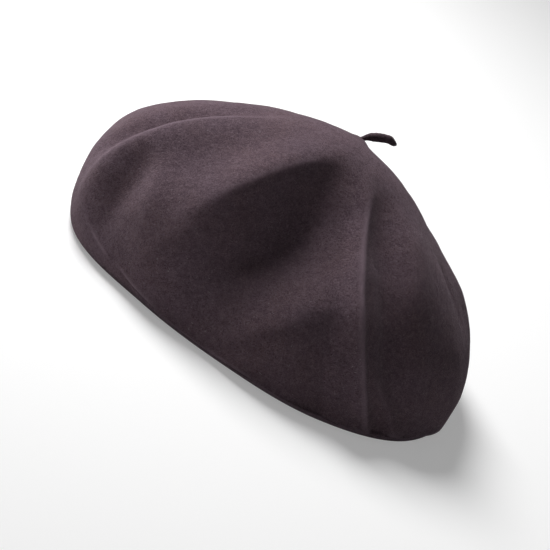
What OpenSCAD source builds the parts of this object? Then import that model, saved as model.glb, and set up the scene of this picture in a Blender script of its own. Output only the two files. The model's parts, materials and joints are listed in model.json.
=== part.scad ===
// Beret: a soft wool-felt crown resting on its head opening, with a leather
// sweatband, a satin lining, two woven labels and a short felt stalk on top.
// Millimetres, +Z up, front towards -Y. The origin is the middle of the head
// opening, on the plane that the hat rests on.

/* [Head opening] */
// Girth of the head that the sweatband fits
head_girth = 560; // [540:5:600]
// Height of the leather sweatband
band_h = 25; // [22:1:27]
// Thickness of the sweatband leather
band_t = 1.2; // [1:0.1:1.6]
// Height of the stitch line above the sweatband's lower edge
stitch_line_h = 4; // [2.5:0.5:6]
// Width of the sewn joint that closes the sweatband at the back
joint_w = 6; // [5:0.5:9]
// Slit left between the sweatband's two ends
joint_slit = 0.4; // [0.2:0.1:0.8]

/* [Felt] */
// Thickness of the felt
felt_t = 2; // [1.6:0.1:2.4]
// Height of the crown at the stalk
crown_h = 106; // [98:1:114]
// How far the crown's widest line stands out past the opening, at its least
overhang = 8.5; // [8:0.5:12]
// Height of the felt edge that turns up into the opening
hem_h = 10; // [7:1:14]
// Hole in the crown for the stalk
eyelet_d = 4.4; // [4:0.1:5]

/* [Stalk] */
// Thickness of the stalk at its middle
stalk_d = 4.8; // [4:0.2:6]
// Thickness of the stalk's neck
neck_d = 2.6; // [2.2:0.1:2.8]
// Sideways reach of the stalk
stalk_reach = 17.5; // [14:0.5:24]
// Height of the stalk's tip above its root
stalk_rise = 9.5; // [7:0.5:14]
// Room around the stalk's root in the eyelet
root_gap = 0.5; // [0.3:0.1:0.7]
// Width of the felt patch that backs the eyelet
patch_d = 10; // [9:0.5:13]
// Thickness of that patch
patch_t = 0.8; // [0.6:0.1:1.2]

/* [Lining] */
// Thickness of the lining satin
lining_t = 0.5; // [0.4:0.1:0.7]
// Height of the lining's seam above the sweatband
lining_rise = 19; // [17:0.5:21]
// How far the lining leans in between the sweatband and its seam
lining_lean = 21; // [19:0.5:26]
// Height of the lining's tip above its seam
tip_rise = 12; // [6:1:14]
// Height of the seam allowance that stands on the seam
allowance_h = 3; // [2:0.5:4]

/* [Labels] */
// Width of the care label
care_w = 24; // [18:1:26]
// Length of the care label
care_l = 15; // [12:0.5:15.5]
// Width of the size label
size_w = 14; // [10:1:16]
// Length of the size label
size_l = 12; // [9:0.5:15.5]
// Thickness of a folded label
label_t = 0.8; // [0.6:0.1:1.2]

/* [Sewing] */
// Thickness of the thread
thread_d = 0.5; // [0.4:0.05:0.6]
// Length of one stitch
stitch_l = 3; // [2.4:0.2:3.4]
// Distance from one stitch to the next
stitch_pitch = 4.6; // [4:0.2:6]
// Gap between soft pieces that lie against each other
soft_gap = 0.3; // [0.2:0.05:0.4]

/* [Hidden] */

felt_color = "#50414a";
stalk_color = "#47383f";
leather_color = "#5b3d2b";
satin_color = "#2b2529";
thread_color = "#3a2e35";
label_color = "#d9d2c6";
round_fn = 96;
thread_fn = 16;

// Radii from the head outwards
head_r = head_girth / (2 * PI);
band_r = head_r + band_t;
lining_r = band_r + soft_gap + lining_t;
hem_r = lining_r + soft_gap;

// The felt's outer side: stations every 30 degrees round the head opening,
// anticlockwise from +X, so 90 is the back and 270 the front.
// Extra overhang of the widest line
bulge = [19, 14, 10, 5, 6, 11, 17, 20, 3, 0, 12, 21];
// Height of the widest line
widest_z = [12, 20, 22, 22, 26, 32, 34, 20, 6, 4, 4, 6];
// How long the side climbs straight up from the widest line
fullness = [46, 30, 22, 22, 26, 30, 36, 46, 60, 66, 66, 68];
// How far the flat underside reaches out past the hem's corner
underside = [13, 10, 8, 6, 6, 8, 12, 18, 3, 1, 12, 22];

// The crown's top: where the stalk stands, and the slope that leaves it
apex = [1, 5];
cone_slope = 10;
tilt_slope = 26;
tilt_az = 65;
top_length = 36;

// Folds. Each row runs down the crown, which goes from 0 at the stalk through
// 1 at the widest line: [start, end, azimuth at the start, half way and at the
// end, height, width on the low and on the high azimuth side, place of its peak]
folds = [
    [0.15, 1.12, 205, 207, 209,   7,  7, 14, 0.60],
    [0.20, 1.05, 193, 196, 199,  -6,  9,  8, 0.55],
    [0.55, 1.10, 210, 216, 224,  -5, 10, 10, 0.50],
    [0.58, 1.08, 202, 229, 236,   3,  9, 12, 0.45],
    [0.12, 0.95, 262, 243, 228,   8, 17,  9, 0.45],
    [0.21, 0.97, 266, 266, 252, -17, 15, 40, 0.50],
    [0.45, 1.08, 248, 241, 236,   5, 12, 11, 0.55],
    [0.56, 1.20, 298, 276, 262,   3, 12, 12, 0.50],
    [0.60, 1.15, 289, 296, 304,  -4, 14,  5, 0.55],
    [0.12, 0.95, 296, 298, 302,   2,  9,  9, 0.40],
    [0.15, 1.20, 304, 298, 329,   5,  5,  4, 0.60],
    [0.10, 1.20, 306, 310, 325,  -6,  8, 14, 0.55],
    [0.78, 1.18, 302, 320, 330,   3,  4,  8, 0.40],
    [0.20, 0.85, 326, 320, 318,   3,  8, 12, 0.50],
    [0.55, 1.15, 338, 338, 340,   3, 16, 12, 0.60],
    [0.40, 0.80, 350, 352, 352,  -3,  6,  8, 0.50],
    [0.35, 0.85,  12,  10,   8,   3, 10, 14, 0.55],
    [0.02, 0.60,   5,   5,   5,   4, 26, 26, 0.40]
];
// Folds keep their width near the stalk, as if they lay at least this far out
fold_min_r = 20;
// Folds fade out between these places on the way under the hat
fold_fade = [1.1, 1.6];
half_turn = 180;

// Columns lie closer together where the folds are
column_az = concat([for (a = [-30 : 5 : 175]) a], [for (a = [180 : 2.5 : 327.5]) a]);
crown_rows = 18;
turn_rows = 6;
corner_steps = 2;
eyelet_r = eyelet_d / 2;
eyelet_s = eyelet_r / (3 * top_length);
hem_corner_r = felt_t + 0.6;

function cyclic(v, az) = let (
        n = len(v),
        f = ((az % 360) + 360) % 360 / (360 / n),
        i = floor(f),
        t = f - i,
        a = v[(i + n - 1) % n],
        b = v[i % n],
        c = v[(i + 1) % n],
        d = v[(i + 2) % n]
    ) (2 * b + (c - a) * t + (2 * a - 5 * b + 4 * c - d) * t * t
        + (3 * b - a - 3 * c + d) * t * t * t) / 2;

function bezier(p, t) = let (u = 1 - t)
    u * u * u * p[0] + 3 * u * u * t * p[1] + 3 * u * t * t * p[2] + t * t * t * p[3];

function bezier_slope(p, t) = let (u = 1 - t)
    3 * u * u * (p[1] - p[0]) + 6 * u * t * (p[2] - p[1]) + 3 * t * t * (p[3] - p[2]);

function ease(a, b, x) = let (t = max(0, min(1, (x - a) / (b - a)))) t * t * (3 - 2 * t);

function unit(v) = v / norm(v);

// Control points of the side above and below the widest line, as [radius, height]
function upper_arc(az) = let (
        slope = cone_slope + tilt_slope * cos(az - tilt_az),
        r = hem_r + overhang + cyclic(bulge, az),
        z = cyclic(widest_z, az)
    ) [[0, crown_h],
       [top_length * cos(slope), crown_h - top_length * sin(slope)],
       [r, z + cyclic(fullness, az)],
       [r, z]];

function lower_arc(az) = let (
        r = hem_r + overhang + cyclic(bulge, az),
        z = cyclic(widest_z, az),
        r0 = hem_r + hem_corner_r + cyclic(underside, az)
    ) [[r, z], [r, 0.45 * z], [r0 + 0.55 * (r - r0), 0], [r0, 0]];

// Height of one fold at azimuth az, place s and radius r
function fold_height(f, az, s, r) = let (t = (s - f[0]) / (f[1] - f[0]))
    t <= 0 || t >= 1 ? 0 : let (
        middle = f[2] * (1 - t) * (1 - 2 * t) + f[3] * 4 * t * (1 - t) + f[4] * t * (2 * t - 1),
        turn = (az - middle + 3 * half_turn) % (2 * half_turn) - half_turn,
        across = max(r, fold_min_r) * turn * PI / 180,
        width = across < 0 ? f[6] : f[7],
        rise = t < f[8] ? sin(90 * t / f[8]) : cos(90 * (t - f[8]) / (1 - f[8]))
    ) f[5] * rise * rise * exp(-pow(across / width, 2));

function total(v) = v * [for (x = v) 1];

// Point of the felt's outer side at azimuth az and place s, from 0 at the
// stalk through 1 at the widest line to 2 on the underside
function felt_point(az, s) = let (
        arc = s < 1 ? upper_arc(az) : lower_arc(az),
        t = s < 1 ? s : s - 1,
        p = bezier(arc, t),
        d = unit(bezier_slope(arc, t)),
        lift = total([for (f = folds) fold_height(f, (az + 360) % 360, s, p[0])])
            * (1 - ease(fold_fade[0], fold_fade[1], s)),
        q = p + lift * [-d[1], d[0]],
        shift = apex * (1 - ease(0, 1, s))
    ) [shift[0] + q[0] * cos(az), shift[1] + q[0] * sin(az), q[1]];

// The felt's edge in the opening: a rounded corner, then straight up
hem_profile = concat(
    [for (i = [0 : corner_steps]) let (a = 270 - 90 * i / corner_steps)
        [hem_r + hem_corner_r * (1 + cos(a)), hem_corner_r * (1 + sin(a))]],
    [[hem_r, hem_h]]);

// One column of the felt's outer side, from the eyelet to the hem's edge
function felt_column(az) = concat(
    [for (i = [0 : crown_rows - 1]) felt_point(az, eyelet_s + (1 - eyelet_s) * i / crown_rows)],
    [for (i = [0 : turn_rows]) felt_point(az, 1 + i / turn_rows)],
    [for (p = hem_profile) [p[0] * cos(az), p[0] * sin(az), p[1]]]);

// Points moved inwards by the felt's thickness, across the grid of columns
function inner_side(grid) = let (n = len(grid), rows = len(grid[0]))
    [for (i = [0 : n - 1]) [for (j = [0 : rows - 1]) let (
        along = grid[(i + 1) % n][j] - grid[(i + n - 1) % n][j],
        down = grid[i][min(j + 1, rows - 1)] - grid[i][max(j - 1, 0)]
    ) grid[i][j] - felt_t * unit(cross(down, along))]];

// Closed skin between two grids of the same size that share no point
module sheet_solid(outer, inner) {
    n = len(outer);
    rows = len(outer[0]);
    count = n * rows;
    points = concat([for (c = outer) for (p = c) p], [for (c = inner) for (p = c) p]);
    faces = [for (i = [0 : n - 1]) let (a = i * rows, b = ((i + 1) % n) * rows) each concat(
        [for (j = [0 : rows - 2]) each [
            [a + j, a + j + 1, b + j + 1],
            [a + j, b + j + 1, b + j],
            [count + a + j, count + b + j + 1, count + a + j + 1],
            [count + a + j, count + b + j, count + b + j + 1]]],
        [[a, b, count + b], [a, count + b, count + a],
         [a + rows - 1, count + b + rows - 1, b + rows - 1],
         [a + rows - 1, count + a + rows - 1, count + b + rows - 1]])];
    polyhedron(points, faces);
}

module felt_crown() {
    outer = [for (az = column_az) felt_column(az)];
    color(felt_color) sheet_solid(outer, inner_side(outer));
}

// The stalk turns about its root, which sits in the middle of the felt
crown_normal = [sin(tilt_slope) * cos(tilt_az), sin(tilt_slope) * sin(tilt_az), cos(tilt_slope)];
pivot = [apex[0], apex[1], crown_h - eyelet_r * tan(cone_slope)] - felt_t / 2 * crown_normal;
root_r = eyelet_r - root_gap;

// Length of the stalk's neck, before it leans over
neck_l = 5;

// The stalk's middle line, then places along it and how thick it is there
stalk_line = [pivot,
              pivot + neck_l * crown_normal,
              pivot + [0.45 * stalk_reach, 3, 0.7 * stalk_rise],
              pivot + [stalk_reach, 5, stalk_rise]];
stalk_widths = [[0.10, neck_d], [0.18, neck_d], [0.27, 0.65 * stalk_d], [0.37, 0.85 * stalk_d],
                [0.48, 0.95 * stalk_d], [0.60, stalk_d], [0.72, stalk_d], [0.84, 0.92 * stalk_d],
                [0.92, 0.76 * stalk_d], [0.97, 0.54 * stalk_d], [1, 0.25 * stalk_d]];
// The tip nods down past the straight line
tip_nod = 2.2;

function stalk_point(t) = bezier(stalk_line, t) - [0, 0, tip_nod * ease(0.8, 1, t)];

// A ball for the root, then the stalk, as [middle, width]
stalk_rings = concat(
    [for (a = [-75 : 25 : 25]) [pivot + root_r * sin(a) * crown_normal, 2 * root_r * cos(a)]],
    [for (w = stalk_widths) [stalk_point(w[0]), w[1]]]);

module stalk() {
    sides = 12;
    last = len(stalk_rings) - 1;
    points = [for (i = [0 : last]) let (
        d = unit(stalk_rings[min(i + 1, last)][0] - stalk_rings[max(i - 1, 0)][0]),
        u = unit(cross(d, [0, 1, 0])),
        v = cross(d, u)
    ) for (k = [0 : sides - 1]) let (a = 360 * k / sides)
        stalk_rings[i][0] + stalk_rings[i][1] / 2 * (cos(a) * u + sin(a) * v)];
    skin = [for (i = [0 : last - 1]) for (k = [0 : sides - 1]) let (
        a = i * sides + k,
        b = i * sides + (k + 1) % sides
    ) each [[a, b, b + sides], [a, b + sides, a + sides]]];
    ends = [for (k = [1 : sides - 2]) each [
        [0, k + 1, k],
        [last * sides, last * sides + k, last * sides + k + 1]]];
    color(stalk_color) polyhedron(points, concat(skin, ends));
}

// What follows hangs below the eyelet, square to the crown's slope there
module under_eyelet() {
    translate(pivot) rotate([0, 0, tilt_az]) rotate([0, tilt_slope, 0]) children();
}

// Depth of the patch's two faces below the pivot, on the eyelet's axis
patch_top = felt_t / 2 + 2 * soft_gap;
patch_foot = patch_top + patch_t;

module stalk_patch() {
    fall = (patch_d / 2 - eyelet_r) * tan(cone_slope);
    color(felt_color) under_eyelet() rotate_extrude($fn = round_fn)
        polygon([[eyelet_r, -patch_top], [patch_d / 2, -patch_top - fall],
                 [patch_d / 2, -patch_foot - fall], [eyelet_r, -patch_foot]]);
}

module stalk_tack() {
    count = 8;
    length = 1.8;
    r = (eyelet_r + patch_d / 2) / 2;
    depth = patch_foot + (r - eyelet_r) * tan(cone_slope) + 0.1 + thread_d / 2 / cos(cone_slope);
    color(thread_color) under_eyelet() for (k = [0 : count - 1])
        rotate([0, 0, 360 * k / count]) translate([r, 0, -depth]) rotate([0, 90 + cone_slope, 0])
            cylinder(h = length, d = thread_d, center = true, $fn = thread_fn);
}

stitch_groove = thread_d + 0.1;

module sweatband() {
    color(leather_color) difference() {
        rotate_extrude($fn = round_fn) polygon([
            [head_r, 0], [band_r, 0], [band_r, band_h], [head_r, band_h],
            [head_r, stitch_line_h + stitch_groove], [head_r + stitch_groove, stitch_line_h + stitch_groove],
            [head_r + stitch_groove, stitch_line_h - stitch_groove], [head_r, stitch_line_h - stitch_groove]]);
        // The two ends meet at the back, in a shallow bed for their stitches
        translate([-joint_slit / 2, head_r / 2, -1]) cube([joint_slit, head_r, band_h + 2]);
        translate([-joint_w / 2, head_r / 2, -1])
            cube([joint_w, head_r / 2 + stitch_groove, band_h + 2]);
    }
}

// A ring of stitches that run round the axis
module stitch_ring(r, z, clear_at_back = 0) {
    count = floor(2 * PI * r / stitch_pitch);
    for (k = [0 : count - 1]) let (az = 90 + 360 * (k + 0.5) / count)
        if (abs(r * cos(az)) - stitch_l / 2 > clear_at_back || sin(az) < 0)
            rotate([0, 0, az]) translate([r, 0, z]) rotate([90, 0, 0])
                cylinder(h = stitch_l, d = thread_d, center = true, $fn = thread_fn);
}

module sweatband_stitches() {
    color(thread_color) stitch_ring(head_r + stitch_groove - thread_d / 2 - 0.05, stitch_line_h,
                                    joint_w / 2);
}

// Slanted stitches that draw the sweatband's two ends together
module band_joint_stitches() {
    step = 2.2;
    count = floor((band_h - 3) / step);
    span = joint_w - 1.6;
    lean = atan(step / 2 / span);
    color(thread_color) for (k = [0 : count - 1])
        translate([0, head_r + stitch_groove - thread_d / 2 - 0.05, 1.5 + step * (k + 0.5)])
            rotate([0, 90 - lean, 0])
                cylinder(h = span, d = thread_d, center = true, $fn = thread_fn);
}

// The lining: a side that leans in above the sweatband, and a shallow tip
seam_r = lining_r - lining_lean;
seam_z = band_h + lining_rise;
lining_foot = 3;

module lining_side() {
    t = lining_t;
    color(satin_color) rotate_extrude($fn = round_fn) polygon([
        [lining_r - t, lining_foot], [lining_r, lining_foot], [lining_r, band_h + 1],
        [seam_r, seam_z], [seam_r, seam_z + allowance_h],
        [seam_r - t, seam_z + allowance_h], [seam_r - t, seam_z - t], [lining_r - t, band_h + 1 - t]]);
}

// The tip is a shallow dome through its edge and its middle
tip_edge_r = seam_r - lining_t - soft_gap;
tip_steps = 12;

tip_r = tip_edge_r - lining_t;
tip_dome_r = (tip_r * tip_r + tip_rise * tip_rise) / (2 * tip_rise);

// Height of the tip's underside at distance r from the axis
function tip_height(r) = seam_z + tip_rise - tip_dome_r + sqrt(tip_dome_r * tip_dome_r - r * r);

module lining_tip() {
    stations = [for (i = [0 : tip_steps]) tip_r * i / tip_steps];
    high = [for (r = stations) [r, tip_height(r) + lining_t]];
    low = [for (i = [tip_steps : -1 : 0]) [stations[i], tip_height(stations[i])]];
    color(satin_color) rotate_extrude($fn = round_fn) polygon(concat(
        high,
        [[tip_r, seam_z + allowance_h], [tip_edge_r, seam_z + allowance_h], [tip_edge_r, seam_z]],
        low));
}

module lining_stitches() {
    color(thread_color)
        stitch_ring(seam_r + 0.1 + thread_d / 2, seam_z + allowance_h / 2 + 0.2);
}

// A folded label that hangs from the lining's seam and swings about its top edge
label_r = tip_edge_r - 2.5;
label_top = tip_height(label_r) - label_t / 2 - soft_gap;
care_az = 90;
size_az = 113;

module hanging_label(az, w, l) {
    color(label_color) rotate([0, 0, az]) translate([label_r - label_t / 2, -w / 2, label_top - l])
        cube([label_t, w, l]);
}

module care_label() {
    hanging_label(care_az, care_w, care_l);
}

module size_label() {
    hanging_label(size_az, size_w, size_l);
}

felt_crown();
stalk();
stalk_patch();
stalk_tack();
sweatband();
sweatband_stitches();
band_joint_stitches();
lining_side();
lining_tip();
lining_stitches();
care_label();
size_label();
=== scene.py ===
"""Looks for the beret: felt with its folds, leather sweatband, satin lining, labels and stitches."""
import json
import math

import bmesh
import bpy
import numpy as np
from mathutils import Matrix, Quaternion, Vector, noise


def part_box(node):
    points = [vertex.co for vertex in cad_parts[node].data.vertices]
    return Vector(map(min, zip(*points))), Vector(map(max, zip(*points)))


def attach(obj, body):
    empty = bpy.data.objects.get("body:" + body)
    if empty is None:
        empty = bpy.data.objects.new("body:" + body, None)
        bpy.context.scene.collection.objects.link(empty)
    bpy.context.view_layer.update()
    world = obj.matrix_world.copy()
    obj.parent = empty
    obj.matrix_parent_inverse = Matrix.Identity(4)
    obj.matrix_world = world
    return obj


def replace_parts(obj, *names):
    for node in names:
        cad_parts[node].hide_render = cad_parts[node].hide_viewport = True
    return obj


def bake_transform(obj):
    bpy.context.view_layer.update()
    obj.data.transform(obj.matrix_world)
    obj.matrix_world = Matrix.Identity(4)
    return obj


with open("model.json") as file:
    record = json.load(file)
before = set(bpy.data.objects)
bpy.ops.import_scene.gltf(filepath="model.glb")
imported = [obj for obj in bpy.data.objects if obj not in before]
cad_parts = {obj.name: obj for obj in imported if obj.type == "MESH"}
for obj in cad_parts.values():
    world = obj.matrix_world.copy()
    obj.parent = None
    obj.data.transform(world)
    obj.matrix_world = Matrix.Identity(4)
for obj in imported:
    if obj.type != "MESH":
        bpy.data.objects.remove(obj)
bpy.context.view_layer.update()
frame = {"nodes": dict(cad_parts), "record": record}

MM = 0.001
record = frame["record"]
mounts = {m["name"]: m for m in record["mounts"]}
pivots = {j["name"]: Vector(j["pos_m"]) for j in record["behaviour"]["joints"]}

# ---------------------------------------------------------------- sizes, in millimetres
HEAD_R = mounts["head_opening"]["dims"]["r_mm"]
BAND_H = mounts["head_opening"]["dims"]["length_mm"]
BAND_T = 1.2
SOFT_GAP = 0.3
LINING_T = 0.5
LINING_R = HEAD_R + BAND_T + SOFT_GAP + LINING_T
HEM_R = LINING_R + SOFT_GAP
HEM_H = 10
FELT_T = 2.0
THREAD_R = 0.25
EYELET_R = 2.2
HEM_CORNER_R = FELT_T + 0.6

# ---------------------------------------------------------------- the felt's shape
# Stations every 30 degrees round the opening, anticlockwise from +X
WIDEST_R = [119, 114, 110, 105, 106, 111, 117, 120, 103, 100, 112, 121]
WIDEST_Z = [12, 20, 22, 22, 26, 32, 34, 20, 6, 4, 4, 6]
FULLNESS = [46, 30, 22, 22, 26, 30, 36, 46, 60, 66, 66, 68]
UNDERSIDE_R = [107, 104, 102, 100, 100, 102, 106, 112, 97, 95, 106, 116]
CROWN_H = 106
APEX = (1, 5)
CONE_SLOPE, TILT_SLOPE, TILT_AZ = 10, 26, 65
TOP_LENGTH = 36

# Folds: start, end, azimuth at the start, half way and at the end, height,
# width on the low and on the high azimuth side, place of the peak
FOLDS = [
    (0.15, 1.12, 205, 207, 209, 7, 7, 14, 0.60),
    (0.20, 1.05, 193, 196, 199, -6, 9, 8, 0.55),
    (0.55, 1.10, 210, 216, 224, -5, 10, 10, 0.50),
    (0.58, 1.08, 202, 229, 236, 3, 9, 12, 0.45),
    (0.12, 0.95, 262, 243, 228, 8, 17, 9, 0.45),
    (0.21, 0.97, 266, 266, 252, -17, 15, 40, 0.50),
    (0.45, 1.08, 248, 241, 236, 5, 12, 11, 0.55),
    (0.56, 1.20, 298, 276, 262, 3, 12, 12, 0.50),
    (0.60, 1.15, 289, 296, 304, -4, 14, 5, 0.55),
    (0.12, 0.95, 296, 298, 302, 2, 9, 9, 0.40),
    (0.15, 1.20, 304, 298, 329, 5, 5, 4, 0.60),
    (0.10, 1.20, 306, 310, 325, -6, 8, 14, 0.55),
    (0.78, 1.18, 302, 320, 330, 3, 4, 8, 0.40),
    (0.20, 0.85, 326, 320, 318, 3, 8, 12, 0.50),
    (0.55, 1.15, 338, 338, 340, 3, 16, 12, 0.60),
    (0.40, 0.80, 350, 352, 352, -3, 6, 8, 0.50),
    (0.35, 0.85, 12, 10, 8, 3, 10, 14, 0.55),
    (0.02, 0.60, 5, 5, 5, 4, 26, 26, 0.40),
]
# Nearer the stalk than FOLD_MIN_R a fold keeps its angle, and below FOLD_FADE it dies out under the rim
FOLD_MIN_R = 20
FOLD_FADE = (1.1, 1.6)


def cyclic(values, az):
    """Smooth periodic curve through equally spaced stations."""
    v = np.asarray(values, float)
    f = (az % 360) / (360 / len(v))
    i = np.floor(f).astype(int)
    t = f - i
    a, b, c, d = (v[(i + k) % len(v)] for k in (-1, 0, 1, 2))
    square = 2 * a - 5 * b + 4 * c - d
    cube = 3 * b - a - 3 * c + d
    return (2 * b + (c - a) * t + square * t**2 + cube * t**3) / 2


def bezier(p, t):
    """Point of a cubic curve with four control values."""
    u = 1 - t
    return u**3 * p[0] + 3 * u * u * t * p[1] + 3 * u * t * t * p[2] + t**3 * p[3]


def bezier_slope(p, t):
    """Derivative of that curve."""
    u = 1 - t
    return 3 * u * u * (p[1] - p[0]) + 6 * u * t * (p[2] - p[1]) + 3 * t * t * (p[3] - p[2])


def ease(a, b, x):
    """0 below a and 1 above b, with a smooth step between them."""
    t = np.clip((x - a) / (b - a), 0, 1)
    return t * t * (3 - 2 * t)


def fold_lift(az, s, r):
    """How far all the folds together lift the felt, at azimuth az, place s and radius r."""
    lift = np.zeros_like(r)
    for start, end, az0, az_mid, az1, height, low_w, high_w, peak in FOLDS:
        t = np.clip((s - start) / (end - start), 0, 1)
        middle = az0 * (1 - t) * (1 - 2 * t) + az_mid * 4 * t * (1 - t) + az1 * t * (2 * t - 1)
        across = np.maximum(r, FOLD_MIN_R) * np.radians((az - middle + 180) % 360 - 180)
        width = np.where(across < 0, low_w, high_w)
        climb = np.sin(math.pi / 2 * t / peak)
        fall = np.cos(math.pi / 2 * (t - peak) / (1 - peak))
        rise = np.where(t < peak, climb, fall)
        lift += height * rise**2 * np.exp(-((across / width) ** 2))
    return lift * (1 - ease(*FOLD_FADE, s))


def felt_side(az, s):
    """Points of the felt's outer side for arrays of azimuth and place (0 stalk, 1 widest, 2 underside)."""
    a = np.radians(az)
    slope = np.radians(CONE_SLOPE + TILT_SLOPE * np.cos(a - math.radians(TILT_AZ)))
    wide_r, wide_z = cyclic(WIDEST_R, az), cyclic(WIDEST_Z, az)
    full, under_r = cyclic(FULLNESS, az), cyclic(UNDERSIDE_R, az)
    zero = np.zeros_like(wide_r)
    up_r = [zero, TOP_LENGTH * np.cos(slope), wide_r, wide_r]
    up_z = [zero + CROWN_H, CROWN_H - TOP_LENGTH * np.sin(slope), wide_z + full, wide_z]
    low_r = [wide_r, wide_r, under_r + 0.55 * (wide_r - under_r), under_r]
    low_z = [wide_z, 0.45 * wide_z, zero, zero]
    t, q, upper = np.clip(s, 0, 1), np.clip(s - 1, 0, 1), s < 1
    r = np.where(upper, bezier(up_r, t), bezier(low_r, q))
    z = np.where(upper, bezier(up_z, t), bezier(low_z, q))
    dr = np.where(upper, bezier_slope(up_r, t), bezier_slope(low_r, q))
    dz = np.where(upper, bezier_slope(up_z, t), bezier_slope(low_z, q))
    length = np.hypot(dr, dz) + 1e-9
    lift = fold_lift(az, s, r)
    r = r - dz / length * lift
    z = z + dr / length * lift
    shift = 1 - ease(0, 1, s)
    return np.stack([APEX[0] * shift + r * np.cos(a), APEX[1] * shift + r * np.sin(a), z], -1)


# ---------------------------------------------------------------- mesh helpers
def link(name, mesh, material, body):
    """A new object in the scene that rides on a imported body."""
    obj = bpy.data.objects.new(name, mesh)
    bpy.context.scene.collection.objects.link(obj)
    mesh.materials.append(material)
    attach(obj, body)
    return obj


def new_mesh(name, points, faces):
    """Mesh from points in millimetres and quads or polygons, smooth, with its normals outside."""
    mesh = bpy.data.meshes.new(name)
    mesh.from_pydata((np.asarray(points, float) * MM).tolist(), [], faces)
    bm = bmesh.new()
    bm.from_mesh(mesh)
    bmesh.ops.recalc_face_normals(bm, faces=bm.faces)
    bm.to_mesh(mesh)
    bm.free()
    mesh.shade_smooth()
    return mesh


def grid_faces(rows, columns, first=0, wrap_rows=False, wrap_columns=False):
    """Quads between the points of a grid stored row by row."""
    last_i = rows if wrap_rows else rows - 1
    last_j = columns if wrap_columns else columns - 1

    def at(i, j):
        return first + (i % rows) * columns + j % columns

    places = [(i, j) for i in range(last_i) for j in range(last_j)]
    return [(at(i, j), at(i + 1, j), at(i + 1, j + 1), at(i, j + 1)) for i, j in places]


def normals_of(grid):
    """Unit normals of a grid of points whose first direction closes on itself."""
    along = np.roll(grid, -1, 0) - np.roll(grid, 1, 0)
    down = np.gradient(grid, axis=1)
    n = np.cross(down, along)
    return n / (np.linalg.norm(n, axis=-1, keepdims=True) + 1e-12)


CREST_START, CREST_SPAN = 0.08, 0.22
CREST_FREE_TOP, CREST_FREE_RIM = 2, 9


def crest_highlight_mask(grid, normal):
    """0 where the felt is flat or hollow, up to 1 along a sharp crest: the mask of a painted highlight
    along the crests.
    """
    bend = np.zeros(grid.shape[:2])
    for axis in (0, 1):
        step = np.roll(grid, -1, axis) - np.roll(grid, 1, axis)
        swing = np.roll(normal, -1, axis) - np.roll(normal, 1, axis)
        bend = np.maximum(bend, (step * swing).sum(-1) / ((step * step).sum(-1) + 1e-9))
    bend[:, :CREST_FREE_TOP] = bend[:, -CREST_FREE_RIM:] = 0
    return np.clip((bend - CREST_START) / CREST_SPAN, 0, 1)


def ripple(points, size, depth, seed):
    """Smooth noise of that wavelength and depth, in millimetres, at each point."""
    flat = points.reshape(-1, 3) / size + seed
    return np.array([noise.noise(Vector(p)) for p in flat]).reshape(points.shape[:-1]) * depth


def tube(path, radii, sides=8, ply=0.0, twist=0.0):
    """Points and faces of a tube along a path; ply makes it a twisted thread of two strands."""
    path = np.asarray(path, float)
    ahead = np.gradient(path, axis=0)
    ahead /= np.linalg.norm(ahead, axis=1, keepdims=True)
    side = np.cross(ahead[0], [0.31, 0.17, 0.93])
    points = []
    for i, (p, d, r) in enumerate(zip(path, ahead, radii)):
        side = side - d * side.dot(d)
        side /= np.linalg.norm(side)
        up = np.cross(d, side)
        for k in range(sides):
            a = 2 * math.pi * k / sides
            w = r * (1 + ply * math.cos(2 * (a - twist * i)))
            points.append(p + w * (math.cos(a) * side + math.sin(a) * up))
    n = len(path)
    faces = grid_faces(n, sides, wrap_columns=True)
    faces.append(tuple(range(sides)))
    faces.append(tuple(range((n - 1) * sides, n * sides))[::-1])
    return points, faces


def join(parts):
    """One list of points and faces from several."""
    points, faces = [], []
    for p, f in parts:
        faces += [tuple(len(points) + i for i in face) for face in f]
        points += list(p)
    return points, faces


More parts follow.
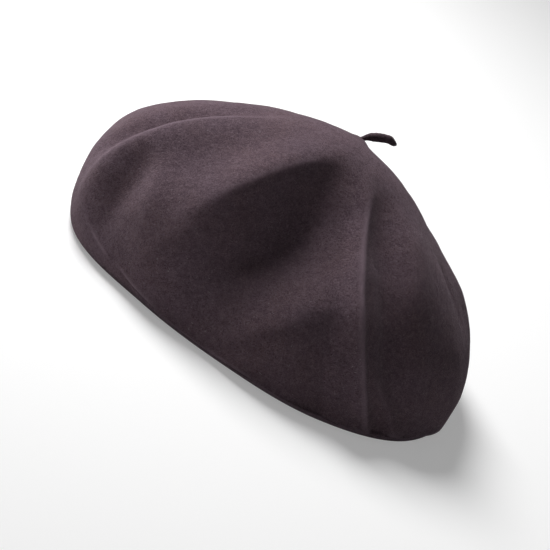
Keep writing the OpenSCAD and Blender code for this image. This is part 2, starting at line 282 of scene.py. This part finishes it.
# ---------------------------------------------------------------- materials
class Nodes:
    """A material under construction, with short calls for the nodes that the finishes share."""

    def __init__(self, name, roughness, **values):
        self.material = bpy.data.materials.new(name)
        self.material.use_nodes = True
        self.tree = self.material.node_tree
        self.shader = self.tree.nodes["Principled BSDF"]
        self.shader.inputs["Roughness"].default_value = roughness
        for key, value in values.items():
            self.shader.inputs[key.replace("_", " ")].default_value = value

    def add(self, kind, inputs=(), **settings):
        node = self.tree.nodes.new("ShaderNode" + kind)
        for key, value in settings.items():
            setattr(node, key, value)
        for key, value in dict(inputs).items():
            if isinstance(value, bpy.types.NodeSocket):
                self.tree.links.new(value, node.inputs[key])
            else:
                node.inputs[key].default_value = value
        return node

    def place(self, scale=(1, 1, 1), turn=(0, 0, 0), uv=None):
        """Object coordinates, or a named map, stretched and turned."""
        if uv:
            source = self.add("UVMap", uv_map=uv).outputs["UV"]
        else:
            source = self.add("TexCoord").outputs["Object"]
        return self.add("Mapping", {"Vector": source, "Scale": scale, "Rotation": turn}).outputs[0]

    def noise(self, size_mm, detail=2.0, rough=0.5, place=None, distortion=0.0):
        inputs = {"Scale": 1000 / size_mm, "Detail": detail, "Roughness": rough, "Distortion": distortion}
        inputs["Vector"] = place or self.place()
        return self.add("TexNoise", inputs).outputs["Fac"]

    def fit(self, value, low, high, to_low=0.0, to_high=1.0):
        inputs = {"Value": value, "From Min": low, "From Max": high, "To Min": to_low, "To Max": to_high}
        return self.add("MapRange", inputs).outputs[0]

    def math(self, how, a, b):
        return self.add("Math", {0: a, 1: b}, operation=how).outputs[0]

    def mix(self, factor, a, b, how="MIX"):
        node = self.add("Mix", data_type="RGBA", blend_type=how)
        self.tree.links.new(factor, node.inputs["Factor"])
        for key, value in (("A", a), ("B", b)):
            socket = next(s for s in node.inputs if s.name == key and s.type == "RGBA")
            if isinstance(value, bpy.types.NodeSocket):
                self.tree.links.new(value, socket)
            else:
                socket.default_value = (*value, 1)
        return next(s for s in node.outputs if s.type == "RGBA")

    def finish(self, color, height=None, strength=0.5, depth_mm=0.2):
        self.tree.links.new(color, self.shader.inputs["Base Color"])
        if height is not None:
            bump = self.add("Bump", {"Height": height, "Strength": strength, "Distance": depth_mm * MM})
            self.tree.links.new(bump.outputs[0], self.shader.inputs["Normal"])
        return self.material


# FELT_LIGHT colours the pale fibre tips and also the painted highlight along sharp crests
FELT_DARK = (0.066, 0.040, 0.052)
FELT_MAIN = (0.150, 0.102, 0.125)
FELT_LIGHT = (0.275, 0.200, 0.240)
FELT_WARM = (0.140, 0.089, 0.100)
STRAY_HAIR = (0.42, 0.36, 0.40)
# How far the crests' painted highlight goes towards the light felt colour
CREST_HIGHLIGHT = 0.65


def felt_material(name, dark=FELT_DARK, main=FELT_MAIN, light=FELT_LIGHT, warm=FELT_WARM):
    """Fulled wool: a fine grain of short fibres, a slow mottle, a few pale stray hairs, and a painted
    highlight along sharp crests.
    """
    m = Nodes(name, 1.0, Specular_IOR_Level=0.08, Sheen_Weight=0.14, Sheen_Roughness=0.5,
              Sheen_Tint=(0.86, 0.74, 0.82, 1))
    grain = m.noise(1.1, 3, 0.7, distortion=0.8)
    fibres_a = m.noise(1.1, 2, 0.6, m.place((1, 4.5, 1.6), (0.4, 0.2, 0.9)), 1.2)
    fibres_b = m.noise(1.1, 2, 0.6, m.place((4.2, 1, 1.4), (0.1, 0.7, 0.3)), 1.2)
    fibres = m.math("MAXIMUM", fibres_a, fibres_b)
    clumps = m.noise(3.6, 3, 0.65)
    cloud = m.noise(26, 2, 0.5)
    color = m.mix(m.fit(cloud, 0.35, 0.68), main, warm)
    color = m.mix(m.fit(grain, 0.36, 0.58, 0.85, 0.0), color, dark)
    color = m.mix(m.fit(fibres, 0.50, 0.72, 0.0, 0.75), color, light)
    color = m.mix(m.fit(clumps, 0.30, 0.60, 0.45, 0.0), color, dark)
    stray = m.noise(2.4, 1, 0.4, m.place((1, 7, 2.5), (0.8, 0.3, 1.4)), 0.8)
    color = m.mix(m.fit(stray, 0.735, 0.77, 0.0, 0.5), color, STRAY_HAIR)
    # Painted highlight: the felt is coloured lighter along its sharp crests
    painted_crest_highlight = m.add("Attribute", attribute_name="painted_crest_highlight").outputs["Fac"]
    color = m.mix(m.fit(painted_crest_highlight, 0.0, 1.0, 0.0, CREST_HIGHLIGHT), color, light)
    height = m.math("ADD", m.math("MULTIPLY", grain, 0.8), m.math("MULTIPLY", fibres, 0.8))
    height = m.math("ADD", height, m.math("MULTIPLY", clumps, 1.0))
    return m.finish(color, height, 1.0, 0.7)


PEBBLE_MM = 1.1
LEATHER_EDGE = (0.040, 0.017, 0.009)


def leather_material():
    """Thin sheep leather: small pebbles, a polished brown that darkens at the edges."""
    m = Nodes("sweatband_leather", 0.42, Specular_IOR_Level=0.45)
    pebbles = {"Vector": m.place(), "Scale": 1000 / PEBBLE_MM}
    cells = m.add("TexVoronoi", pebbles, feature="DISTANCE_TO_EDGE").outputs[0]
    pores = m.noise(0.5, 2, 0.5)
    cloud = m.noise(18, 3, 0.55)
    color = m.mix(m.fit(cloud, 0.32, 0.68), (0.088, 0.037, 0.018), (0.150, 0.068, 0.034))
    color = m.mix(m.fit(cells, 0.0, 0.12, 0.45, 0.0), color, (0.045, 0.018, 0.009))
    z = m.add("SeparateXYZ", {0: m.add("TexCoord").outputs["Object"]}).outputs[2]
    color = m.mix(m.fit(z, 1.4 * MM, 0.2 * MM, 0.0, 0.6), color, LEATHER_EDGE)
    color = m.mix(m.fit(z, (BAND_H - 1.2) * MM, BAND_H * MM, 0.0, 0.6), color, LEATHER_EDGE)
    wear = m.math("MULTIPLY", m.fit(m.noise(7, 3, 0.6), 0.48, 0.66), 0.35)
    color = m.mix(wear, color, (0.190, 0.098, 0.056))
    rough = m.fit(m.noise(9, 2, 0.5), 0.3, 0.7, 0.34, 0.56)
    m.tree.links.new(rough, m.shader.inputs["Roughness"])
    height = m.math("ADD", m.fit(cells, 0.0, 0.10), m.math("MULTIPLY", pores, 0.35))
    return m.finish(color, height, 0.35, 0.16)


def satin_material():
    """Woven satin: long floats that run down the cloth, and a soft shine."""
    m = Nodes("lining_satin", 0.36, Specular_IOR_Level=0.6, Sheen_Weight=0.25, Sheen_Roughness=0.3,
              Sheen_Tint=(0.75, 0.6, 0.7, 1), Anisotropic=0.55)
    floats = m.noise(1.0, 2, 0.5, m.place((5.0, 0.45, 1), uv="thread_way"))
    slubs = m.noise(5.0, 2, 0.5, m.place((0.3, 3.0, 1), uv="thread_way"))
    cloud = m.noise(30, 2, 0.5)
    color = m.mix(m.fit(floats, 0.32, 0.68), (0.019, 0.012, 0.017), (0.046, 0.031, 0.041))
    color = m.mix(m.fit(slubs, 0.60, 0.74, 0.0, 0.4), color, (0.070, 0.050, 0.064))
    color = m.mix(m.fit(cloud, 0.35, 0.65, 0.0, 0.35), color, (0.026, 0.014, 0.018))
    rough = m.fit(floats, 0.3, 0.7, 0.30, 0.46)
    m.tree.links.new(rough, m.shader.inputs["Roughness"])
    return m.finish(color, m.math("ADD", floats, m.math("MULTIPLY", slubs, 0.5)), 0.25, 0.10)


def thread_material():
    """Polyester sewing thread."""
    m = Nodes("sewing_thread", 0.5, Specular_IOR_Level=0.4, Sheen_Weight=0.2)
    strands = m.noise(0.35, 2, 0.6)
    color = m.mix(m.fit(strands, 0.3, 0.7), (0.030, 0.019, 0.024), (0.088, 0.062, 0.074))
    return m.finish(color, strands, 0.5, 0.06)


# A wave texture's bands lie 0.314 apart at scale 1, so this puts the ribs about 0.9 mm apart
RIB_SCALE = 1000 / 6.3 / 0.45


def label_material():
    """Bare woven ribbon: fine cross ribs, streaks along the warp and a little wear."""
    m = Nodes("label_ribbon", 0.72, Specular_IOR_Level=0.25, Sheen_Weight=0.1)
    wave = {"Vector": m.place(uv="thread_way"), "Scale": RIB_SCALE, "Distortion": 0.4, "Detail": 1}
    ribs = m.add("TexWave", wave, wave_type="BANDS", bands_direction="Y").outputs["Fac"]
    warp = m.noise(0.4, 2, 0.5, m.place((4, 0.5, 1), uv="thread_way"))
    cloud = m.noise(9, 2, 0.5)
    color = m.mix(m.fit(cloud, 0.35, 0.7), (0.66, 0.62, 0.54), (0.58, 0.53, 0.45))
    color = m.mix(m.fit(ribs, 0.0, 0.5, 0.30, 0.0), color, (0.40, 0.36, 0.30))
    color = m.mix(m.fit(warp, 0.35, 0.6, 0.22, 0.0), color, (0.45, 0.41, 0.35))
    return m.finish(color, m.math("ADD", ribs, m.math("MULTIPLY", warp, 0.6)), 0.4, 0.08)


FELT = felt_material("wool_felt")
STALK_FELT = felt_material(
    "stalk_felt",
    dark=(0.050, 0.031, 0.039),
    main=(0.098, 0.066, 0.080),
    light=(0.165, 0.120, 0.140),
    warm=(0.090, 0.056, 0.062),
)
LEATHER = leather_material()
SATIN = satin_material()
THREAD = thread_material()
LABEL = label_material()


# ---------------------------------------------------------------- the felt crown
# The side with the sharp folds gets twice the meridians of the rest
FOLDED_FROM, FOLDED_TO = 180, 330
FOLDED_STEP, PLAIN_STEP = 0.75, 1.5
UPPER_ROWS, LOWER_ROWS = 96, 26
LIP_H, LIP_W = 0.7, 2.6


def felt_crown():
    """One skin of felt: crown, rim, flat underside, rounded corner and the hem that turns up."""
    fine = np.arange(FOLDED_FROM, FOLDED_TO, FOLDED_STEP)
    wide = np.arange(FOLDED_TO - 360, FOLDED_FROM, PLAIN_STEP)
    az = np.concatenate([wide, fine])
    start = EYELET_R / (3 * TOP_LENGTH)
    s = np.concatenate([np.linspace(start, 1, UPPER_ROWS, endpoint=False), np.linspace(1, 2, LOWER_ROWS)])
    outer = felt_side(*np.meshgrid(az, s, indexing="ij"))
    turn = np.radians(np.linspace(270, 180, 7))[1:]
    profile = [(HEM_R + HEM_CORNER_R * (1 + math.cos(a)), HEM_CORNER_R * (1 + math.sin(a))) for a in turn]
    profile += [(HEM_R, h) for h in np.linspace(HEM_CORNER_R, HEM_H - FELT_T / 2, 5)[1:]]
    a = np.radians(az)
    flat = [[(HEM_R + HEM_CORNER_R) * np.cos(a), (HEM_R + HEM_CORNER_R) * np.sin(a), 0 * a]]
    rim = flat + [[r * np.cos(a), r * np.sin(a), z + 0 * a] for r, z in profile]
    outer = np.concatenate([outer, np.stack([np.stack(c, -1) for c in rim], 1)], 1)

    # A small lip where the felt was drawn up round the stalk, and the felt's slow unevenness
    from_stalk = np.hypot(outer[..., 0] - APEX[0], outer[..., 1] - APEX[1])
    normal = normals_of(outer)
    lip = LIP_H * np.exp(-(((from_stalk - EYELET_R) / LIP_W) ** 2)) * (outer[..., 2] > CROWN_H / 2)
    above = ease(2, 14, outer[..., 2])
    uneven = (ripple(outer, 19, 0.55, 3.1) + ripple(outer, 7, 0.16, 8.7)) * above * ease(3, 14, from_stalk)
    outer = outer + normal * (lip + uneven)[..., None]
    inner = outer - FELT_T * normals_of(outer)

    n, rows = outer.shape[:2]
    count = n * rows
    points = np.concatenate([outer.reshape(-1, 3), inner.reshape(-1, 3)])
    # Only the outer side carries the painted highlight along the crests
    painted_crest_highlight = np.concatenate([crest_highlight_mask(outer, normals_of(outer)).ravel(), np.zeros(count)])
    faces = grid_faces(n, rows, wrap_rows=True)
    faces += grid_faces(n, rows, first=count, wrap_rows=True)
    for i in range(n):
        b = (i + 1) % n
        for j in (0, rows - 1):
            faces.append((i * rows + j, b * rows + j, count + b * rows + j, count + i * rows + j))
    mesh = new_mesh("felt_crown_skin", points, faces)
    mesh.attributes.new("painted_crest_highlight", "FLOAT", "POINT").data.foreach_set("value", painted_crest_highlight.astype(np.float32))
    obj = link("felt_crown_skin", mesh, FELT, "root")
    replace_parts(obj, "felt_crown")


# ---------------------------------------------------------------- the stalk
STALK_SIDES = 28
STALK_NECK_L = 5
STALK_BALL_GAP = 0.15
# Control points three and four from the pivot, and the droop of the tip
STALK_MIDDLE, STALK_TIP, TIP_DROOP = [7.9, 3, 6.65], [17.5, 5, 9.5], 2.2
# Place along the stalk and radius there
STALK_RADII = [
    (0.13, 1.3), (0.18, 1.35), (0.27, 1.6), (0.37, 2.05), (0.48, 2.3), (0.60, 2.4),
    (0.72, 2.42), (0.84, 2.25), (0.92, 1.85), (0.97, 1.25), (1.0, 0.55),
]
GROOVE_DEPTH, GROOVE_SIDE, GROOVE_W = 0.13, 9, 1.3


def stalk():
    """The rolled felt stalk, from the ball in its eyelet to the tip that nods over."""
    pivot = np.array(pivots["stalk_bend"]) / MM
    tilt, turn = math.radians(TILT_SLOPE), math.radians(TILT_AZ)
    normal = np.array([math.sin(tilt) * math.cos(turn), math.sin(tilt) * math.sin(turn), math.cos(tilt)])
    line = [pivot, pivot + STALK_NECK_L * normal, pivot + STALK_MIDDLE, pivot + STALK_TIP]
    path, radii = [], []
    ball = EYELET_R - STALK_BALL_GAP
    for a in np.radians(np.arange(-80, 45, 12.5)):
        path.append(pivot + ball * math.sin(a) * normal)
        radii.append(ball * math.cos(a))
    ball_rings = len(path)
    for t in np.linspace(STALK_RADII[0][0], 1, 44):
        path.append(bezier(line, t) - np.array([0, 0, TIP_DROOP * float(ease(0.8, 1, t))]))
        radii.append(np.interp(t, *zip(*STALK_RADII)))
    points, faces = tube(path, radii, sides=STALK_SIDES)
    points = np.array(points)
    # The roll's free edge shows as a shallow groove along one side, and the felt is a little lumpy
    for i in range(ball_rings, len(path)):
        first = i * STALK_SIDES
        middle = points[first:first + STALK_SIDES].mean(0)
        for k in range(STALK_SIDES):
            p = points[first + k]
            aside = (k - GROOVE_SIDE + 1.5 * math.sin(i / 9)) / GROOVE_W
            groove = GROOVE_DEPTH * math.exp(-(aside ** 2))
            lump = 0.10 * noise.noise(Vector(p / 2.1)) + 0.05 * noise.noise(Vector(p / 0.8))
            points[first + k] = middle + (p - middle) * (1 - groove + lump)
    obj = link("stalk_roll", new_mesh("stalk_roll", points, faces), STALK_FELT, "stalk")
    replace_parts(obj, "stalk")


# ---------------------------------------------------------------- the sweatband and its stitches
# The joint's threads lie in a shallow bed either side of the slit between the strip's ends
BED_DEPTH = 0.6
BED_HALF = 3.0
SLIT_HALF = 0.2
STITCH_Z = 4.0
STITCH_PITCH, STITCH_L = 4.6, 3.5
JOINT_STEP, JOINT_SPAN, JOINT_MARGIN = 2.2, 4.4, 1.5
THREAD_BED_R = HEAD_R + BED_DEPTH - THREAD_R * 0.9


def band_profile(recess):
    """The strip's cross-section as radius and height, from the inner face's foot round the top and back."""
    t, e = BAND_T, 0.35
    groove = BED_DEPTH if recess < BED_DEPTH else recess
    inner = [(recess + e * 0.4, 0.05), (recess, e), (recess, 1.6), (recess, 3.0), (recess, 3.35)]
    inner += [(groove, 3.5), (groove, STITCH_Z), (groove, 4.5), (recess, 4.65), (recess, 5.2)]
    inner += [(recess, 9), (recess, 13), (recess, 17), (recess, 21), (recess, 24)]
    inner += [(recess + e * 0.1, BAND_H - e), (recess + e, BAND_H)]
    outer = [(t - 0.1, BAND_H), (t, BAND_H - e), (t, 20), (t, 14), (t, 8), (t, e), (t - e * 0.6, 0.0)]
    return np.array(inner + outer)


def sweatband():
    """The leather strip, bent into a ring from one side of its slit to the other."""
    half = math.degrees(BED_HALF / HEAD_R)
    slit = math.degrees(SLIT_HALF / HEAD_R)
    near_slit = [slit, half * 0.5, half * 0.92, half * 1.0, half * 1.12]
    steps = np.concatenate([near_slit, np.arange(3.5, 357, 1.5)])
    az = np.concatenate([steps, 360 - steps[:len(near_slit)][::-1]])
    columns = []
    for a in az:
        near = min(a, 360 - a)
        recess = BED_DEPTH if near <= half else 0.0
        angle = math.radians(90 + a)
        ring = band_profile(recess)
        wave = 0.10 * math.sin(angle * 5 + 0.7) + 0.06 * math.sin(angle * 13)
        lift = wave * ease(6, 20, ring[:, 1]) * (near > 2 * half)
        r = HEAD_R + ring[:, 0] + np.abs(lift) * (ring[:, 0] < BAND_T / 2)
        columns.append(np.stack([r * math.cos(angle), r * math.sin(angle), ring[:, 1]], -1))
    n, m = len(columns), len(columns[0])
    ends = [tuple(range(m)), tuple(range((n - 1) * m, n * m))[::-1]]
    faces = grid_faces(n, m, wrap_columns=True) + ends
    mesh = new_mesh("sweatband_strip", np.concatenate(columns), faces)
    obj = link("sweatband_strip", mesh, LEATHER, "root")
    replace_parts(obj, "sweatband")


def stitch(middle, along, out, length, proud=0.12, dip=0.45):
    """One stitch: a short twisted thread whose ends dip into the material."""
    middle, along, out = (np.asarray(v, float) for v in (middle, along, out))
    path, radii = [], []
    for t in np.linspace(-1, 1, 11):
        height = proud * (1 - t * t) - dip * max(0, abs(t) - 0.72) ** 2 * 13
        path.append(middle + along * t * length / 2 + out * height)
        radii.append(THREAD_R * (1 - 0.25 * abs(t) ** 6))
    return tube(path, radii, sides=10, ply=0.14, twist=0.9)


def sweatband_stitches():
    """The row of stitches round the band, left out where the joint's threads lie."""
    r = THREAD_BED_R
    count = int(2 * math.pi * r / STITCH_PITCH)
    parts = []
    for k in range(count):
        a = math.radians(90 + 360 * (k + 0.5) / count)
        if abs(r * math.cos(a)) - STITCH_L / 2 < BED_HALF and math.sin(a) > 0:
            continue
        slant = 0.05 * math.sin(k * 2.3)
        along = (-math.sin(a), math.cos(a), slant)
        out = (-math.cos(a), -math.sin(a), 0)
        middle = (r * math.cos(a), r * math.sin(a), STITCH_Z + 0.06 * math.sin(k * 1.7))
        parts.append(stitch(middle, along, out, STITCH_L))
    mesh = new_mesh("sweatband_threads", *join(parts))
    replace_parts(link("sweatband_threads", mesh, THREAD, "root"), "sweatband_stitches")


def joint_stitches():
    """Crossed stitches that close the band's joint, the second of each pair over the first."""
    count = int((BAND_H - 2 * JOINT_MARGIN) / JOINT_STEP)
    parts = []
    for k in range(count):
        middle = (0, THREAD_BED_R, JOINT_MARGIN + JOINT_STEP * (k + 0.5))
        for lean, proud in ((0.25, 0.08), (-0.25, 0.30)):
            along = np.array([1, 0, lean * (-1) ** k])
            along = along / np.linalg.norm(along)
            parts.append(stitch(middle, along, (0, -1, 0), JOINT_SPAN, proud))
    mesh = new_mesh("joint_threads", *join(parts))
    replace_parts(link("joint_threads", mesh, THREAD, "root"), "band_joint_stitches")


# ---------------------------------------------------------------- the lining
SEAM_R = LINING_R - 21
SEAM_Z = BAND_H + 19
ALLOWANCE_H = 3
TIP_R = SEAM_R - LINING_T - SOFT_GAP - LINING_T
TIP_RISE = 12
CLOTH_T = 0.24
SIDE_FLAT_H = 54
SIDE_FOOT_Z = 3.2


def cloth(name, middle, spans, body="root", closed=True):
    """A thin closed cloth from a grid of points, with a map that runs along its threads."""
    if closed:
        normal = normals_of(middle)
    else:
        normal = np.cross(np.gradient(middle, axis=1), np.gradient(middle, axis=0))
    normal /= np.linalg.norm(normal, axis=-1, keepdims=True) + 1e-12
    n, rows = middle.shape[:2]
    count = n * rows
    half = CLOTH_T / 2 * normal
    points = np.concatenate([(middle + half).reshape(-1, 3), (middle - half).reshape(-1, 3)])
    faces = grid_faces(n, rows, wrap_rows=closed) + grid_faces(n, rows, first=count, wrap_rows=closed)
    edge = range(n if closed else n - 1)
    pairs = [(i * rows + j, ((i + 1) % n) * rows + j) for i in edge for j in (0, rows - 1)]
    if not closed:
        pairs += [(i * rows + j, i * rows + j + 1) for j in range(rows - 1) for i in (0, n - 1)]
    faces += [(a, b, count + b, count + a) for a, b in pairs]
    mesh = new_mesh(name, points, faces)
    layer = mesh.uv_layers.new(name="thread_way")
    across, down = spans
    for face in mesh.polygons:
        first = [mesh.loops[i].vertex_index % count // rows for i in face.loop_indices]
        wraps = max(first) - min(first) > 1
        for i, column in zip(face.loop_indices, first):
            row = mesh.loops[i].vertex_index % count % rows
            column = column + n if wraps and column == 0 else column
            layer.data[i].uv = (column / n * across * MM, row / (rows - 1) * down * MM)
    return mesh


def lining_side():
    """The satin side: flat behind the sweatband, then leaning in and gathered towards the seam."""
    n = 480
    a = np.radians(np.arange(n) * 360 / n)
    foot = [(LINING_R - LINING_T / 2, h) for h in np.linspace(SIDE_FOOT_Z, BAND_H, 6)]
    lean = [(LINING_R - LINING_T / 2 - (LINING_R - SEAM_R) * t, BAND_H + 0.7 + (SEAM_Z - BAND_H - 0.7) * t)
            for t in np.linspace(0.04, 1, 16)]
    top = [(SEAM_R - LINING_T / 2, SEAM_Z + h) for h in (0.8, 1.9, ALLOWANCE_H)]
    profile = np.array(foot + lean + top)
    gather_z = [BAND_H, BAND_H + 4, SEAM_Z - 3, SEAM_Z, SEAM_Z + 1]
    gather = np.interp(profile[:, 1], gather_z, [0, 0.25, 1, 0.55, 0.12])
    wave = 0.9 * np.sin(37 * a + 1.4 * np.sin(5 * a)) + 0.5 * np.sin(61 * a + 2 * np.sin(3 * a) + 1)
    slack = 0.7 * np.sin(9 * a + np.sin(2 * a))
    push = (np.outer(wave, gather) + np.outer(slack, np.minimum(gather, 0.6))) * 0.75
    slope = math.radians(45)
    r = profile[:, 0] + push * math.cos(slope)
    z = profile[:, 1] + push * math.sin(slope) * (gather > 0)
    middle = np.stack([r * np.cos(a)[:, None], r * np.sin(a)[:, None], z], -1)
    mesh = cloth("lining_side_cloth", middle, (2 * math.pi * LINING_R, SIDE_FLAT_H))
    obj = link("lining_side_cloth", mesh, SATIN, "root")
    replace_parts(obj, "lining_side")


def lining_tip():
    """The satin tip: a shallow dome that puckers towards its seam."""
    n = 360
    a = np.radians(np.arange(n) * 360 / n)
    dome = (TIP_R**2 + TIP_RISE**2) / (2 * TIP_RISE)
    r = np.concatenate([np.linspace(0.4, TIP_R - 3, 36), np.linspace(TIP_R - 2, TIP_R - 0.1, 5)])
    z = SEAM_Z + LINING_T / 2 + TIP_RISE - dome + np.sqrt(dome**2 - r**2)
    pucker = ease(TIP_R - 28, TIP_R - 4, r) * (1 - 0.7 * ease(TIP_R - 3, TIP_R, r))
    wave = np.sin(43 * a + 1.7 * np.sin(4 * a)) + 0.6 * np.sin(23 * a + 1.2 * np.sin(7 * a))
    z = z + 0.28 * np.outer(wave + 1.6, pucker)
    edge = [(TIP_R + LINING_T / 2, SEAM_Z + h) for h in (0.5, 1.6, ALLOWANCE_H)]
    r = np.concatenate([r, [e[0] for e in edge]])
    z = np.concatenate([z, np.tile([e[1] for e in edge], (n, 1))], 1)
    middle = np.stack([r * np.cos(a)[:, None], r * np.sin(a)[:, None], z], -1)
    middle[..., 2] += ripple(middle, 26, 0.8, 5.5) * (1 - ease(TIP_R - 22, TIP_R - 8, r))
    # The pole closes on one small ring, filled so that the cloth has no hole
    mesh = cloth("lining_tip_cloth", middle, (2 * math.pi * TIP_R, TIP_R + ALLOWANCE_H))
    bm = bmesh.new()
    bm.from_mesh(mesh)
    pole = [f for f in bm.faces if all(v.co.xy.length < 0.6 * MM for v in f.verts)]
    bmesh.ops.delete(bm, geom=pole, context="FACES")
    bmesh.ops.holes_fill(bm, edges=[e for e in bm.edges if e.is_boundary], sides=0)
    bm.to_mesh(mesh)
    bm.free()
    mesh.shade_smooth()
    obj = link("lining_tip_cloth", mesh, SATIN, "root")
    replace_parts(obj, "lining_tip")


# ---------------------------------------------------------------- the labels
LABEL_WIDTHS = {"care_label": 24, "size_label": 14}
LABEL_TAB = 2.1
LABEL_CURL = 0.9


def label(node, joint, azimuth):
    """A folded ribbon: sewn under the tip's edge, bent over its hinge and hanging in two layers."""
    low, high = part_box(node)
    pivot = pivots[joint] / MM
    a = math.radians(azimuth)
    out = np.array([math.cos(a), math.sin(a), 0])
    across = np.array([-math.sin(a), math.cos(a), 0])
    width = LABEL_WIDTHS[node]
    length = (high.z - low.z) / MM
    fold_z = -length + 0.45
    tab = LABEL_TAB
    # Offsets from the pivot as (outwards, up): in from the seam, over the bend, down, round the fold, up
    front = [(tab, 0.22), (tab * 0.6, 0.26), (0.5, 0.22), (0.12, 0.0), (0.14, -0.6)]
    for t in np.linspace(0.1, 1, 10):
        front.append((0.15 + 0.10 * math.sin(math.pi * t), -0.6 + (fold_z + 0.6) * t))
    turn = [(0.30 * math.cos(t) - 0.12, fold_z - 0.32 * math.sin(t)) for t in np.linspace(0.5, 2.6, 6)]
    back = []
    for t in np.linspace(0.05, 1, 10):
        back.append((-0.32 - 0.12 * math.sin(math.pi * t), fold_z + (-0.6 - fold_z) * t))
    back += [(-0.22, -0.15), (-0.05, 0.06), (0.5, -0.08), (tab * 0.6, -0.06), (tab, -0.10)]
    path = np.array(front + turn + back)
    n = 13
    middle = np.zeros((n, len(path), 3))
    for i, u in enumerate(np.linspace(-0.5, 0.5, n)):
        curl = LABEL_CURL * (u * u) * ease(0.2, 1.0, -path[:, 1] / length)
        middle[i] = (np.array(pivot) + np.outer(path[:, 0] - curl, out)
                     + np.outer(path[:, 1], [0, 0, 1]) + across * (u * width))
    mesh = cloth(node + "_ribbon", middle, (width, 2 * (length + tab)), closed=False)
    obj = bpy.data.objects.new(node + "_ribbon", mesh)
    bpy.context.scene.collection.objects.link(obj)
    mesh.materials.append(LABEL)
    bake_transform(obj)
    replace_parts(obj, node)


# ---------------------------------------------------------------- pieces that stay as CAD made them
def carried_over():
    """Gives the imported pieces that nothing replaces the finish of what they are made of."""
    for node, material in (("stalk_patch", FELT), ("stalk_tack", THREAD), ("lining_stitches", THREAD)):
        obj = frame["nodes"][node]
        for material_slot in obj.material_slots:
            material_slot.material = material


# ---------------------------------------------------------------- floor, light and camera
CAMERA_ELEVATION = 22
CAMERA_ROLL = 31.8
CAMERA_DISTANCE = 1.112
CAMERA_TARGET = Vector((0, 0, 0.0168))
LENS_MM, SENSOR_MM = 135, 36
LAMP_AIM = Vector((0, 0, 0.05))
KEY_SIZE, KEY_POWER = 0.6, 19.5
FILL_PLACE, FILL_SIZE, FILL_POWER = Vector((0.1, -1.3, 0.15)), 0.9, 0.6
WORLD_UNSEEN, WORLD_SEEN = 0.04, 1.0
FLOOR_HALF, FLOOR_DROP, FLOOR_GREY, FLOOR_GLOW = 3.0, 0.0004, 0.75, 0.30


def camera():
    """A long lens, tipped to one side; returns the directions right, up and back of its view."""
    e = math.radians(CAMERA_ELEVATION)
    back = Vector((0, -math.cos(e), math.sin(e)))
    data = bpy.data.cameras.new("camera")
    data.lens, data.sensor_width = LENS_MM, SENSOR_MM
    obj = bpy.data.objects.new("camera", data)
    bpy.context.scene.collection.objects.link(obj)
    obj.location = CAMERA_TARGET + back * CAMERA_DISTANCE
    obj.rotation_mode = "QUATERNION"
    turn = Quaternion((0, 0, 1), math.radians(CAMERA_ROLL))
    obj.rotation_quaternion = (-back).to_track_quat("-Z", "Y") @ turn
    bpy.context.scene.camera = obj
    axes = obj.rotation_quaternion.to_matrix()
    return axes @ Vector((1, 0, 0)), axes @ Vector((0, 1, 0)), back


def lamp(name, place, size, power):
    """A round area lamp that looks at the hat."""
    data = bpy.data.lights.new(name, "AREA")
    data.shape, data.size, data.energy = "DISK", size, power
    obj = bpy.data.objects.new(name, data)
    bpy.context.scene.collection.objects.link(obj)
    obj.location = place
    obj.rotation_euler = (LAMP_AIM - place).to_track_quat("-Z", "Y").to_euler()


def seen(nodes):
    """1 for rays that the camera, a glossy or a clear surface sends, and 0 for the light on the object."""
    path = nodes.new("ShaderNodeLightPath")
    tree = path.id_data
    total = path.outputs["Is Camera Ray"]
    for name in ("Is Glossy Ray", "Is Transmission Ray"):
        both = nodes.new("ShaderNodeMath")
        both.operation = "MAXIMUM"
        tree.links.new(total, both.inputs[0])
        tree.links.new(path.outputs[name], both.inputs[1])
        total = both.outputs[0]
    return total


def remap(nodes, value, low, high):
    """A value from 0 to 1 turned into one from low to high."""
    node = nodes.new("ShaderNodeMapRange")
    node.inputs["To Min"].default_value = low
    node.inputs["To Max"].default_value = high
    node.id_data.links.new(value, node.inputs["Value"])
    return node.outputs[0]


def stage():
    """Camera, two lamps, a white surround and a paper floor that looks white but lights little."""
    right, up, back = camera()
    lamp("key", up * 1.2 - back * 0.05 - right * 0.05, KEY_SIZE, KEY_POWER)
    lamp("fill", FILL_PLACE, FILL_SIZE, FILL_POWER)
    scene = bpy.context.scene
    scene.view_settings.view_transform = "Standard"
    world = bpy.data.worlds.new("studio")
    world.use_nodes = True
    scene.world = world
    tree = world.node_tree
    background = tree.nodes["Background"]
    background.inputs["Color"].default_value = (1, 1, 1, 1)
    strength = remap(tree.nodes, seen(tree.nodes), WORLD_UNSEEN, WORLD_SEEN)
    tree.links.new(strength, background.inputs["Strength"])

    mesh = bpy.data.meshes.new("floor")
    corners = [(x * FLOOR_HALF, y * FLOOR_HALF, 0) for x, y in ((-1, -1), (1, -1), (1, 1), (-1, 1))]
    mesh.from_pydata(corners, [], [(0, 1, 2, 3)])
    floor = bpy.data.objects.new("floor", mesh)
    scene.collection.objects.link(floor)
    floor.location.z = -FLOOR_DROP
    paper = bpy.data.materials.new("floor_paper")
    paper.use_nodes = True
    tree = paper.node_tree
    shader = tree.nodes["Principled BSDF"]
    shader.inputs["Base Color"].default_value = (FLOOR_GREY, FLOOR_GREY, FLOOR_GREY, 1)
    shader.inputs["Roughness"].default_value = 1
    shader.inputs["Emission Color"].default_value = (1, 1, 1, 1)
    glow = remap(tree.nodes, seen(tree.nodes), 0.0, FLOOR_GLOW)
    tree.links.new(glow, shader.inputs["Emission Strength"])
    mesh.materials.append(paper)


felt_crown()
stalk()
sweatband()
sweatband_stitches()
joint_stitches()
lining_side()
lining_tip()
label("care_label", "care_label_swing", 90)
label("size_label", "size_label_swing", 113)
carried_over()
stage()
